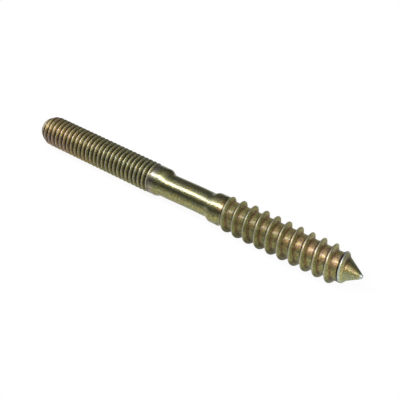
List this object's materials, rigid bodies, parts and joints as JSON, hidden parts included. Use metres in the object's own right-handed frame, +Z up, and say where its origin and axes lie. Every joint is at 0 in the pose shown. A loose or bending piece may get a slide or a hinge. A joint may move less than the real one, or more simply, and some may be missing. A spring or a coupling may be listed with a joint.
{
  "type": "double-ended stud",
  "caption": "One-piece metal stud with a metric machine thread at one end, a thinner plain shank, and a pointed wood-screw thread at the other.",
  "frame": {"origin": "on the axis, in the plane where the wood thread leaves its collar", "axes": "+X along the axis towards the point, +Z up as the stud lies on its side"},
  "size_m": [0.073, 0.007, 0.007],
  "materials": {
    "plated_steel": "yellow passivated zinc plating, shiny on the shank"
  },
  "bodies": {
    "root": {"stud": "plated_steel"}
  },
  "joints": []
}
